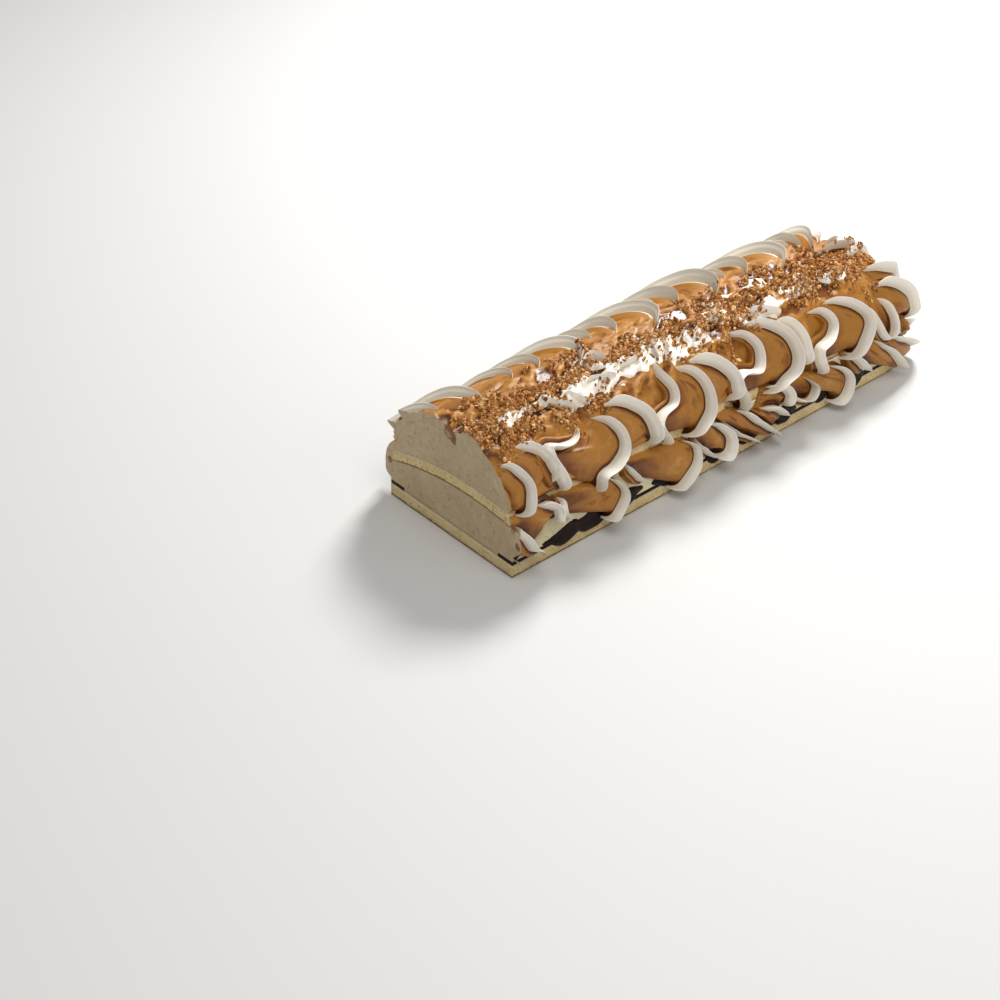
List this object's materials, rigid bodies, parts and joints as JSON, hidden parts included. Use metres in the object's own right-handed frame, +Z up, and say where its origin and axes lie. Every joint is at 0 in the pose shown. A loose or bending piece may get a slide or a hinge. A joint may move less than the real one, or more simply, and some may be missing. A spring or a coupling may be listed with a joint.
{
  "type": "ice cream cake",
  "caption": "Long ice cream cake cut open at one end, with thin sponges between layers of ice cream under ridged piped cream and crumbs.",
  "frame": {"origin": "middle of the underside of the cake's bounding box", "axes": "+X along the cake from its cut face to its far end, +Y to its back, +Z up"},
  "size_m": [0.4656, 0.1616, 0.1019],
  "materials": {
    "sponge": "matt, fine crumb",
    "ice_cream": "matt, porous where cut",
    "piped_cream": "satin white cream on the ridges, glossy caramel between them, brown crumbs on top",
    "sauce": "glossy, dark"
  },
  "bodies": {
    "root": {"base_sponge": "sponge", "lower_ice_cream": "ice_cream", "middle_sponge": "sponge", "upper_ice_cream": "ice_cream", "sauce_seam_front": "sauce", "sauce_seam_back": "sauce", "piped_cream": "piped_cream"}
  },
  "joints": []
}
